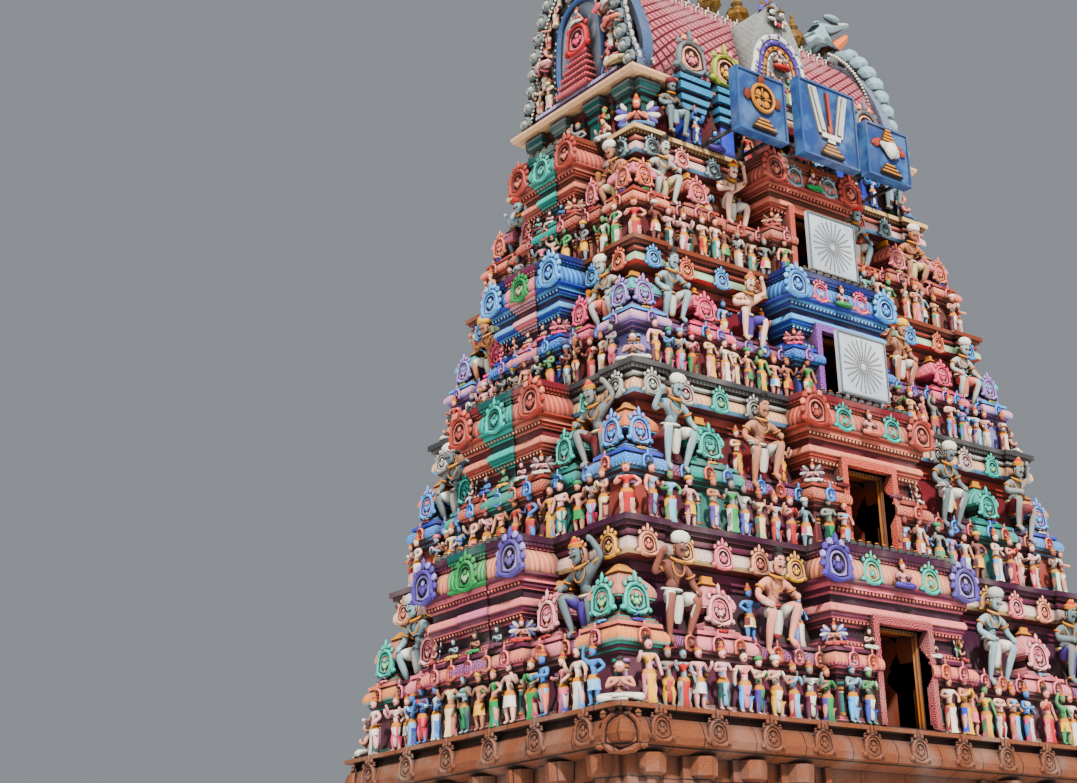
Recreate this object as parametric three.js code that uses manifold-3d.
// A South Indian gateway tower: a granite base with a passage through it, five
// receding storeys of plastered brick, and a barrel roof with a gable at each end.
// Millimetres, +Z up. The origin is at the middle of the footprint on the ground.
// X runs along the long side, and the street front faces -Y.

import * as THREE from 'three';
import { mergeVertices } from 'three/addons/utils/BufferGeometryUtils.js';
import Module from 'manifold-3d';

const wasm = await Module();
wasm.setup();

// The granite base
const PLINTH = { halfX: 7850, halfY: 4610, height: 1350 };
const BASE_WALL = { halfX: 7400, halfY: 4160, top: 5610 };
const GATE = { halfWidth: 1900, height: 5150, sill: 150, ceilingBearing: 350 };
const GATE_FRAME = { jamb: 280, depth: 520, lintel: 420 };
const BASE_CORNICE_TOP = 6360;
const PILASTER = { width: 420, proud: 110 };

// The storeys. Each has its floor level, the ledge that it stands on, half the width of
// the bay in the middle of its front and of its side, the width of its corner blocks, and
// the small shrine between them: how far out it stands and half its width
const FLOORS = [6445, 10100, 13520, 16590, 19700];
const LEDGES = [
  { halfX: 7850, halfY: 4610 },
  { halfX: 7060, halfY: 4090 },
  { halfX: 6330, halfY: 3630 },
  { halfX: 5630, halfY: 3060 },
  { halfX: 4860, halfY: 2370 },
];
const BAYS = [
  { front: 1950, side: 1500, corner: 800, doorHalf: 750, shrineAt: 4850, shrineHalf: 560 },
  { front: 1650, side: 1250, corner: 700, doorHalf: 700, shrineAt: 4350, shrineHalf: 500 },
  { front: 1400, side: 1050, corner: 640, doorHalf: 650, shrineAt: 3800, shrineHalf: 420 },
  { front: 1220, side: 850, corner: 580, doorHalf: 600, shrineAt: 3280, shrineHalf: 380 },
];

// Heights within a storey, as parts of the storey's height
const WALL_TOP = 0.31;
const LOWER_CORNICE_LIP = 0.345;
const LOWER_CORNICE_MIDDLE = 0.375;
const LOWER_CORNICE_TOP = 0.42;
const SHRINE_STEPS_LIP = 0.51;
const SHRINE_STEPS_TOP = 0.54;
const SHRINE_ROOF_BELLY = 0.61;
const SHRINE_ROOF_TOP = 0.69;
const UPPER_CORNICE_BOTTOM = 0.78;
const UPPER_CORNICE_LIP = 0.81;
const UPPER_CORNICE_MIDDLE = 0.84;
const UPPER_CORNICE_TOP = 0.9;
const LEDGE_BOTTOM = 0.95;
const DOOR_TOP = 0.58;
const BAY_COURSE_TOPS = [0.54, 0.66, UPPER_CORNICE_BOTTOM];
const BAY_COURSE_STEP = 70;

// Depths from a ledge's edge, and the thicknesses of the masonry
const WALL_BACK_FROM_EDGE = 500;
const RECESS_BACK_FROM_EDGE = 480;
const BAY_BACK_FROM_EDGE = 280;
const BETWEEN_SHRINES = 150;
const CORNICE_REACH = 250;
const WALL_THICKNESS = 680;
const FLOOR_THICKNESS = 300;
const FLOOR_BEARING = 200;
const SHRINE_REACH = 60;
const SHRINE_INTO_RECESS = 100;
const BAY_INTO_RECESS = 200;
const BAY_STACK_BACK = 230;
const BAY_ROOF_REACH = 70;
const LEDGE_CORNER_EXTRA = 350;

// The top storey and the roof
const TOP_WALL = { halfX: 4300, halfY: 1850, thickness: 520, doorHalf: 420, doorTop: 20950 };
const EAVE = { bottom: 21120, top: 21350, halfX: 4760, halfY: 2300 };
const VAULT_HALF_LENGTH = 4230;
const VAULT_THICKNESS = 380;
const RIDGE = { z: 25000, halfY: 240, top: 25150 };
const GABLE_THICKNESS = 520;
const DORMER = { halfX: 980, front: -2260, bottom: EAVE.top, springing: 23150, top: 24500 };
const FINIAL = { count: 7, spacing: 1020, height: 1300, radius: 330, sides: 8 };
const EXTRUSION = { bevelEnabled: false, steps: 1, curveSegments: 4 };

// Boards hung on the front
const LIGHT_BOARD = { half: 760, height: 1440, thickness: 90, legHeight: 170, legHalf: 40, legInset: 200 };
const SIGN_PLANE = -3780;
const SIGN_THICKNESS = 240;
const SIGNS = [
  { name: 'wheel_sign', left: -3020, right: -1520, bottom: 19510, top: 21060 },
  { name: 'crest_sign', left: -1040, right: 820, bottom: 19480, top: 21420 },
  { name: 'shell_sign', left: 1150, right: 2630, bottom: 19560, top: 20950 },
];
const STEEL = 70;

// Finishes
const GRANITE = { color: 0x6e5a4c, roughness: 0.85, metalness: 0 };
const PLASTER_WALL = { color: 0x8c4a5e, roughness: 0.8, metalness: 0 };
const PLASTER_CORNICE = { color: 0xd98f7e, roughness: 0.75, metalness: 0 };
const PLASTER_SHRINE = { color: 0x3f7fb5, roughness: 0.75, metalness: 0 };
const ROOF_PINK = { color: 0xd9808c, roughness: 0.75, metalness: 0 };
const BRASS = { color: 0xa8843a, roughness: 0.35, metalness: 1 };
const SIGN_BLUE = { color: 0x3b5f9c, roughness: 0.5, metalness: 0 };
const BOARD_GREY = { color: 0xc4c8c6, roughness: 0.45, metalness: 0 };
const BLACK_STEEL = { color: 0x232323, roughness: 0.5, metalness: 0.6 };

const tower = new THREE.Group();

// Solids out of three.js geometry, and back

function toSolid(geometry) {
  const bare = geometry.clone();
  bare.deleteAttribute('normal');
  bare.deleteAttribute('uv');
  const merged = mergeVertices(bare, 0.001);
  return new wasm.Manifold(new wasm.Mesh({
    numProp: 3,
    vertProperties: new Float32Array(merged.attributes.position.array),
    triVerts: new Uint32Array(merged.index.array),
  }));
}

function toGeometry(solid) {
  const mesh = solid.getMesh();
  const geometry = new THREE.BufferGeometry();
  geometry.setAttribute('position', new THREE.BufferAttribute(mesh.vertProperties, 3));
  geometry.setIndex(new THREE.BufferAttribute(mesh.triVerts, 1));
  geometry.computeVertexNormals();
  return geometry;
}

function join(solids) {
  return solids.reduce((all, next) => all.add(next));
}

function addPiece(name, solid, finish) {
  const mesh = new THREE.Mesh(toGeometry(solid), new THREE.MeshStandardMaterial(finish));
  mesh.name = name;
  tower.add(mesh);
}

// Plain shapes

function block(x0, x1, y0, y1, z0, z1) {
  const geometry = new THREE.BoxGeometry(x1 - x0, y1 - y0, z1 - z0);
  geometry.translate((x0 + x1) / 2, (y0 + y1) / 2, (z0 + z1) / 2);
  return toSolid(geometry);
}

// A block over a plan rectangle that grows by one amount at its foot and another at its head
function taperedBlock(plan, z0, grow0, z1, grow1) {
  const geometry = new THREE.BoxGeometry(1, 1, 1);
  const corners = geometry.attributes.position;
  for (let i = 0; i < corners.count; i += 1) {
    const top = corners.getZ(i) > 0;
    const grow = top ? grow1 : grow0;
    const x = corners.getX(i) > 0 ? plan.x1 + grow : plan.x0 - grow;
    const y = corners.getY(i) > 0 ? plan.y1 + grow : plan.y0 - grow;
    corners.setXYZ(i, x, y, top ? z1 : z0);
  }
  return toSolid(geometry);
}

// Courses laid on each other over the same plan rectangles. A profile is a list of
// levels, each with how far the course reaches past the plan there
function courses(plans, profile) {
  const solids = [];
  for (const plan of plans) {
    for (let i = 1; i < profile.length; i += 1) {
      const [z0, grow0] = profile[i - 1];
      const [z1, grow1] = profile[i];
      if (z1 > z0) {
        solids.push(taperedBlock(plan, z0, grow0, z1, grow1));
      }
    }
  }
  return join(solids);
}

function centred(halfX, halfY) {
  return { x0: -halfX, x1: halfX, y0: -halfY, y1: halfY };
}

// A plan rectangle and its mirror images over both axes
function fourWays(plan) {
  const turned = { x0: -plan.x1, x1: -plan.x0, y0: plan.y0, y1: plan.y1 };
  const both = [plan, turned];
  return both.concat(both.map((p) => ({ x0: p.x0, x1: p.x1, y0: -p.y1, y1: -p.y0 })));
}

function frontAndBack(halfWidth, inner, outer) {
  return [
    { x0: -halfWidth, x1: halfWidth, y0: -outer, y1: -inner },
    { x0: -halfWidth, x1: halfWidth, y0: inner, y1: outer },
  ];
}

function bothSides(halfWidth, inner, outer) {
  return [
    { x0: -outer, x1: -inner, y0: -halfWidth, y1: halfWidth },
    { x0: inner, x1: outer, y0: -halfWidth, y1: halfWidth },
  ];
}

// The granite base

function plinth() {
  const flank = { x0: GATE.halfWidth, x1: PLINTH.halfX, y0: -PLINTH.halfY, y1: PLINTH.halfY };
  const otherFlank = { x0: -flank.x1, x1: -flank.x0, y0: flank.y0, y1: flank.y1 };
  const steps = [[0, 0], [260, 0], [260, -90], [760, -90], [900, -20], [1040, -90], [1120, -90],
    [1120, -30], [PLINTH.height, -30]];
  const grown = courses([flank, otherFlank], steps);
  const passage = block(-GATE.halfWidth, GATE.halfWidth, -9000, 9000, 0, 9000);
  const sillDepth = PLINTH.halfY - 300;
  const sill = block(-GATE.halfWidth - 10, GATE.halfWidth + 10, -sillDepth, sillDepth, 0, GATE.sill);
  addPiece('plinth', grown.subtract(passage).add(sill), GRANITE);
}

function flankWall(name, side) {
  const x0 = GATE.halfWidth;
  const x1 = BASE_WALL.halfX;
  const wall = [{ x0, x1, y0: -BASE_WALL.halfY, y1: BASE_WALL.halfY }];
  const columns = [x0 + 300, x0 + 1500, x0 + 2750, x0 + 4000, x1 - 300 + PILASTER.proud];
  const half = PILASTER.width / 2;
  const reach = BASE_WALL.halfY + PILASTER.proud;
  for (const x of columns) {
    wall.push({ x0: x - half, x1: x + half, y0: -reach, y1: reach });
  }
  const rows = [-3900, -2000, 0, 2000, 3900];
  for (const y of rows) {
    wall.push({ x0: x1 - half, x1: x1 + PILASTER.proud, y0: y - half, y1: y + half });
  }
  const plans = side > 0 ? wall : wall.map((p) => ({ x0: -p.x1, x1: -p.x0, y0: p.y0, y1: p.y1 }));
  const solid = courses(plans, [[PLINTH.height, 0], [BASE_WALL.top, 0]]);
  const bearing = GATE.halfWidth + GATE.ceilingBearing;
  const rebate = block(-bearing, bearing, -9000, 9000, GATE.height, BASE_WALL.top + 100);
  addPiece(name, solid.subtract(rebate), GRANITE);
}

function gateFrame() {
  const outer = GATE.halfWidth;
  const top = GATE.height;
  const inner = outer - GATE_FRAME.jamb;
  const frame = block(-outer, outer, -GATE_FRAME.depth, GATE_FRAME.depth, GATE.sill, top);
  const way = block(-inner, inner, -9000, 9000, 0, top - GATE_FRAME.lintel);
  addPiece('gate_door_frame', frame.subtract(way), GRANITE);
}

function gateCeiling() {
  const bearing = GATE.halfWidth + GATE.ceilingBearing;
  const depth = BASE_WALL.halfY;
  addPiece('gate_ceiling', block(-bearing, bearing, -depth, depth, GATE.height, BASE_WALL.top), GRANITE);
}

function baseCornice() {
  const plan = [centred(BASE_WALL.halfX, BASE_WALL.halfY)];
  const profile = [[BASE_WALL.top, 60], [5760, 430], [5900, 470], [6120, 400], [BASE_CORNICE_TOP, 210],
    [BASE_CORNICE_TOP, 450], [FLOORS[0], 450]];
  addPiece('base_cornice', courses(plan, profile), GRANITE);
}

// One storey

function storeySizes(index) {
  const below = LEDGES[index];
  const above = LEDGES[index + 1];
  const bay = BAYS[index];
  const floor = FLOORS[index];
  const height = FLOORS[index + 1] - floor;
  return {
    bay,
    below,
    above,
    floor,
    at: (part) => Math.round(floor + part * height),
    wall: { halfX: below.halfX - WALL_BACK_FROM_EDGE, halfY: below.halfY - WALL_BACK_FROM_EDGE },
    recess: { halfX: above.halfX - RECESS_BACK_FROM_EDGE, halfY: above.halfY - RECESS_BACK_FROM_EDGE },
    room: {
      halfX: above.halfX - RECESS_BACK_FROM_EDGE - WALL_THICKNESS,
      halfY: above.halfY - RECESS_BACK_FROM_EDGE - WALL_THICKNESS,
    },
  };
}

// The plan rectangles of the wall: its middle, its corners, its small shrines and its bays
function wallPlans(s) {
  const { halfX, halfY } = s.wall;
  const corner = s.bay.corner;
  const bayY = s.below.halfY - BAY_BACK_FROM_EDGE;
  const bayX = s.below.halfX - BAY_BACK_FROM_EDGE;
  return [
    centred(halfX - BETWEEN_SHRINES, halfY - BETWEEN_SHRINES),
    ...fourWays({ x0: halfX - corner, x1: halfX, y0: halfY - corner, y1: halfY }),
    ...fourWays({ ...smallShrineSpan(s), y0: 0, y1: halfY }),
    ...frontAndBack(s.bay.front, 0, bayY),
    ...bothSides(s.bay.side, 0, bayX),
  ];
}

function smallShrineSpan(s) {
  return { x0: s.bay.shrineAt - s.bay.shrineHalf, x1: s.bay.shrineAt + s.bay.shrineHalf };
}

function roomOf(s, z0, z1) {
  return block(-s.room.halfX, s.room.halfX, -s.room.halfY, s.room.halfY, z0, z1);
}

function doorsOf(s) {
  const half = s.bay.doorHalf;
  return block(-half, half, -9000, 9000, s.floor + 60, s.at(DOOR_TOP));
}

function storeyWall(index, s) {
  const profile = [[s.floor, 0], [s.at(WALL_TOP), 0], [s.at(LOWER_CORNICE_LIP), CORNICE_REACH],
    [s.at(LOWER_CORNICE_MIDDLE), CORNICE_REACH - 20], [s.at(LOWER_CORNICE_TOP), CORNICE_REACH - 150]];
  const solid = courses(wallPlans(s), profile);
  const cut = solid.subtract(roomOf(s, s.floor - 10, s.at(LOWER_CORNICE_TOP) + 10));
  addPiece(`storey_${index + 1}_wall`, cut.subtract(doorsOf(s)), PLASTER_WALL);
}

// A little shrine on the cornice: stepped courses, then a roof that rounds over
function shrineProfile(s) {
  const lip = s.at(SHRINE_STEPS_LIP);
  const foot = s.at(SHRINE_STEPS_TOP);
  return [[s.at(LOWER_CORNICE_TOP), 0], [lip, 0], [lip, 90], [foot, 90], [foot, 0],
    [s.at(SHRINE_ROOF_BELLY), 130], [s.at(SHRINE_ROOF_TOP), -200]];
}

function cornerShrines(s) {
  const x1 = s.wall.halfX + SHRINE_REACH;
  const y1 = s.wall.halfY + SHRINE_REACH;
  const x0 = Math.min(s.wall.halfX - s.bay.corner, s.recess.halfX - SHRINE_INTO_RECESS);
  const y0 = Math.min(s.wall.halfY - s.bay.corner, s.recess.halfY - SHRINE_INTO_RECESS);
  return courses(fourWays({ x0, x1, y0, y1 }), shrineProfile(s));
}

function smallShrines(s) {
  const y0 = s.recess.halfY - SHRINE_INTO_RECESS;
  const y1 = s.wall.halfY + SHRINE_REACH;
  return courses(fourWays({ ...smallShrineSpan(s), y0, y1 }), shrineProfile(s));
}

// The bays stand up through the upper cornice in plain stacked courses
function bayStacks(s) {
  const inY = s.recess.halfY - BAY_INTO_RECESS;
  const inX = s.recess.halfX - BAY_INTO_RECESS;
  const outY = s.below.halfY - BAY_STACK_BACK;
  const outX = s.below.halfX - BAY_STACK_BACK;
  const plans = [...frontAndBack(s.bay.front, inY, outY), ...bothSides(s.bay.side, inX, outX)];
  const profile = [];
  let bottom = s.at(LOWER_CORNICE_TOP);
  BAY_COURSE_TOPS.forEach((part, index) => {
    const reach = index * BAY_COURSE_STEP;
    profile.push([bottom, reach], [s.at(part), reach]);
    bottom = s.at(part);
  });
  return courses(plans, profile);
}

function shrineCourse(index, s) {
  const bottom = s.at(LOWER_CORNICE_TOP);
  const top = s.at(UPPER_CORNICE_BOTTOM);
  const core = courses([centred(s.recess.halfX, s.recess.halfY)], [[bottom, 0], [top, 0]]);
  const solid = join([core, cornerShrines(s), smallShrines(s), bayStacks(s)]);
  const cut = solid.subtract(roomOf(s, bottom - 10, top + 10));
  addPiece(`storey_${index + 1}_shrine_course`, cut.subtract(doorsOf(s)), PLASTER_SHRINE);
}

function upperCornice(index, s) {
  const bottom = s.at(UPPER_CORNICE_BOTTOM);
  const top = FLOORS[index + 1];
  const edge = { halfX: s.above.halfX - 60, halfY: s.above.halfY - 60 };
  const corner = s.bay.corner + LEDGE_CORNER_EXTRA;
  const ledgePlans = [
    centred(edge.halfX - 90, edge.halfY - 90),
    ...fourWays({ x0: edge.halfX - corner, x1: edge.halfX, y0: edge.halfY - corner, y1: edge.halfY }),
  ];
  const ledge = courses(ledgePlans, [[bottom, -380], [s.at(UPPER_CORNICE_LIP), -10],
    [s.at(UPPER_CORNICE_MIDDLE), 0], [s.at(UPPER_CORNICE_TOP), -140], [s.at(LEDGE_BOTTOM), -60],
    [s.at(LEDGE_BOTTOM), 60], [top, 60]]);
  const outY = s.below.halfY - BAY_ROOF_REACH;
  const outX = s.below.halfX - BAY_ROOF_REACH;
  const bayPlans = [...frontAndBack(s.bay.front + 100, s.recess.halfY - BAY_INTO_RECESS, outY),
    ...bothSides(s.bay.side + 100, s.recess.halfX - BAY_INTO_RECESS, outX)];
  const bayRoof = courses(bayPlans, [[bottom, -30], [s.at(UPPER_CORNICE_MIDDLE), BAY_ROOF_REACH],
    [s.at(LEDGE_BOTTOM), -20], [s.at(LEDGE_BOTTOM), 60], [top, 60]]);
  const bearing = FLOOR_BEARING;
  const rebate = block(-s.room.halfX - bearing, s.room.halfX + bearing,
    -s.room.halfY - bearing, s.room.halfY + bearing, top - FLOOR_THICKNESS, top + 10);
  const cut = ledge.add(bayRoof).subtract(roomOf(s, bottom - 10, top + 10)).subtract(rebate);
  addPiece(`storey_${index + 1}_upper_cornice`, cut, PLASTER_CORNICE);
  const slabX = s.room.halfX + bearing;
  const slabY = s.room.halfY + bearing;
  addPiece(`storey_${index + 2}_floor`, block(-slabX, slabX, -slabY, slabY, top - FLOOR_THICKNESS, top),
    PLASTER_CORNICE);
}

// The top storey, the eave and the roof

function topWall() {
  const floor = FLOORS[4];
  const { halfX, halfY, thickness, doorHalf, doorTop } = TOP_WALL;
  const plans = [centred(halfX, halfY), ...frontAndBack(900, 0, halfY + 330),
    ...fourWays({ x0: 2050, x1: 3050, y0: 0, y1: halfY + 260 })];
  const profile = [[floor, 70], [floor + 130, 70], [floor + 130, 0], [EAVE.bottom - 180, 0],
    [EAVE.bottom - 180, 70], [EAVE.bottom, 90]];
  const room = block(thickness - halfX, halfX - thickness, thickness - halfY, halfY - thickness,
    floor - 10, EAVE.bottom + 10);
  const door = block(-doorHalf, doorHalf, -9000, 9000, floor + 60, doorTop);
  addPiece('storey_5_wall', courses(plans, profile).subtract(room).subtract(door), PLASTER_WALL);
}

function eave() {
  const { thickness } = TOP_WALL;
  const plan = [centred(EAVE.halfX, EAVE.halfY)];
  const slab = courses(plan, [[EAVE.bottom, -60], [EAVE.bottom + 90, 0], [EAVE.bottom + 150, 0],
    [EAVE.top, -120]]);
  const roomX = TOP_WALL.halfX - thickness;
  const roomY = TOP_WALL.halfY - thickness;
  addPiece('eave', slab.subtract(block(-roomX, roomX, -roomY, roomY, EAVE.bottom - 10, EAVE.top + 10)),
    PLASTER_CORNICE);
}

// Half of the roof's outline, from its foot to the ridge, as [distance from the middle, level]
function roofOutline(grow) {
  const half = [[1750, EAVE.top], [1960, 21900], [1870, 22600], [1480, 23600], [860, 24480], [0, RIDGE.z]];
  const right = new THREE.SplineCurve(half.map(([y, z]) => new THREE.Vector2(y, z))).getPoints(12);
  const middle = 22600;
  const grown = right.map((p, i) => {
    const out = new THREE.Vector2(p.x, p.y - middle).normalize();
    const foot = i === 0;
    return new THREE.Vector2(Math.max(p.x + out.x * grow, 0), foot ? EAVE.top : p.y + out.y * grow);
  });
  grown[grown.length - 1].x = 0;
  const left = grown.slice(0, -1).reverse().map((p) => new THREE.Vector2(-p.x, p.y));
  return new THREE.Shape([...grown, ...left]);
}

// Stand a shape that is drawn across the tower upright, and run it along X
function alongX(shape, x0, x1) {
  const geometry = new THREE.ExtrudeGeometry(shape, { depth: x1 - x0, ...EXTRUSION });
  geometry.rotateX(Math.PI / 2);
  geometry.rotateZ(Math.PI / 2);
  geometry.translate(x0, 0, 0);
  return toSolid(geometry);
}

// Stand a shape that is drawn along the tower upright, and run it along Y
function alongY(shape, y0, y1) {
  const geometry = new THREE.ExtrudeGeometry(shape, { depth: y1 - y0, ...EXTRUSION });
  geometry.rotateX(Math.PI / 2);
  geometry.translate(0, y1, 0);
  return toSolid(geometry);
}

function vault() {
  const outer = alongX(roofOutline(0), -VAULT_HALF_LENGTH, VAULT_HALF_LENGTH);
  const inner = alongX(roofOutline(-VAULT_THICKNESS), -9000, 9000);
  const foot = block(-9000, 9000, -1300, 1300, EAVE.top - 10, EAVE.top + 500);
  addPiece('roof_vault', outer.subtract(inner).subtract(foot), ROOF_PINK);
}

// A horseshoe outline: straight feet, swelling sides and a pointed head
function horseshoe(halfFoot, halfWaist, foot, waist, shoulder, halfShoulder, top) {
  const shape = new THREE.Shape();
  shape.moveTo(-halfFoot, foot);
  shape.lineTo(halfFoot, foot);
  shape.quadraticCurveTo(halfFoot, (foot + waist) / 2, halfWaist, waist);
  shape.quadraticCurveTo(halfWaist * 0.96, (waist + shoulder) / 2, halfShoulder, shoulder);
  shape.quadraticCurveTo(halfShoulder * 0.7, top * 0.75 + shoulder * 0.25, 0, top);
  shape.quadraticCurveTo(-halfShoulder * 0.7, top * 0.75 + shoulder * 0.25, -halfShoulder, shoulder);
  shape.quadraticCurveTo(-halfWaist * 0.96, (waist + shoulder) / 2, -halfWaist, waist);
  shape.quadraticCurveTo(-halfFoot, (foot + waist) / 2, -halfFoot, foot);
  return shape;
}

function gable(name, side) {
  const shape = horseshoe(2350, 2000, EAVE.top, 22250, 24500, 1250, 25750);
  const x0 = VAULT_HALF_LENGTH + 0.3;
  const x1 = x0 + GABLE_THICKNESS;
  const body = side > 0 ? alongX(shape, x0, x1) : alongX(shape, -x1, -x0);
  const crest = side > 0 ? block(x0, x1 - 40, -320, 320, 25200, 26500)
    : block(40 - x1, -x0, -320, 320, 25200, 26500);
  addPiece(name, body.add(crest), ROOF_PINK);
}

function dormer(name, side) {
  const shape = horseshoe(DORMER.halfX, DORMER.halfX * 0.96, DORMER.bottom, 21900, DORMER.springing,
    DORMER.halfX * 0.86, DORMER.top);
  const depth = -DORMER.front;
  const body = side < 0 ? alongY(shape, -depth, -200) : alongY(shape, 200, depth);
  const roof = alongX(roofOutline(0.3), -9000, 9000);
  addPiece(name, body.subtract(roof), PLASTER_CORNICE);
}

function ridge() {
  const cap = block(-VAULT_HALF_LENGTH, VAULT_HALF_LENGTH, -RIDGE.halfY, RIDGE.halfY, 24700, RIDGE.top);
  const roof = alongX(roofOutline(0.3), -9000, 9000);
  addPiece('ridge_cap', cap.subtract(roof), PLASTER_CORNICE);
}

// A pot finial: foot, belly, neck, lid and spike
function finial(index) {
  const { height, radius, sides } = FINIAL;
  const outline = [[0, 0], [0.62, 0], [0.5, 0.1], [1, 0.3], [0.86, 0.45], [0.34, 0.54], [0.5, 0.62],
    [0.25, 0.72], [0, 1]];
  const profile = outline.map(([r, z]) => new THREE.Vector2(r * radius, z * height));
  const geometry = new THREE.LatheGeometry(profile, sides);
  geometry.rotateX(Math.PI / 2);
  const x = (index - (FINIAL.count - 1) / 2) * FINIAL.spacing;
  geometry.translate(x, 0, RIDGE.top);
  addPiece(`finial_${index + 1}`, toSolid(geometry), BRASS);
}

// Boards on the front

// A board of lamps that stands on two legs on the shelf over a bay
function lightBoard(name, plane, shelf) {
  const { half, height, thickness, legHeight, legHalf, legInset } = LIGHT_BOARD;
  const bottom = shelf + legHeight;
  const pieces = [block(-half, half, plane, plane + thickness, bottom, bottom + height)];
  for (const x of [legInset - half, half - legInset]) {
    pieces.push(block(x - legHalf, x + legHalf, plane + 20, plane + thickness, shelf, bottom));
  }
  addPiece(name, join(pieces), BOARD_GREY);
}

function sign({ name, left, right, bottom, top }) {
  addPiece(name, block(left, right, SIGN_PLANE, SIGN_PLANE + SIGN_THICKNESS, bottom, top), SIGN_BLUE);
}

function signFrame() {
  const back = SIGN_PLANE + SIGN_THICKNESS;
  const deck = FLOORS[4];
  const bars = [
    block(-3020, 2630, back, back + STEEL, deck, deck + STEEL),
    block(-3020, 2630, back, back + STEEL, deck + 1000, deck + 1000 + STEEL),
  ];
  const wallFace = -(TOP_WALL.halfY + 260 + 70);
  for (const x of [-2800, -1700, 1350, 2450]) {
    bars.push(block(x, x + STEEL, back, wallFace, deck, deck + STEEL));
    bars.push(block(x, x + STEEL, back, back + STEEL, deck, deck + 1000 + STEEL));
  }
  for (const x of [-800, 600]) {
    bars.push(block(x, x + STEEL, back, -(TOP_WALL.halfY + 330 + 70), deck, deck + STEEL));
    bars.push(block(x, x + STEEL, back, back + STEEL, deck, deck + 1000 + STEEL));
  }
  addPiece('sign_frame', join(bars), BLACK_STEEL);
}

plinth();
flankWall('west_flank_wall', -1);
flankWall('east_flank_wall', 1);
gateFrame();
gateCeiling();
baseCornice();
for (let index = 0; index < BAYS.length; index += 1) {
  const sizes = storeySizes(index);
  storeyWall(index, sizes);
  shrineCourse(index, sizes);
  upperCornice(index, sizes);
}
topWall();
eave();
vault();
gable('west_gable', -1);
gable('east_gable', 1);
dormer('front_dormer', -1);
dormer('back_dormer', 1);
ridge();
for (let index = 0; index < FINIAL.count; index += 1) {
  finial(index);
}
lightBoard('upper_light_board', -3480, FLOORS[3]);
lightBoard('lower_light_board', -4060, FLOORS[2]);
for (const each of SIGNS) {
  sign(each);
}
signFrame();

export default tower;
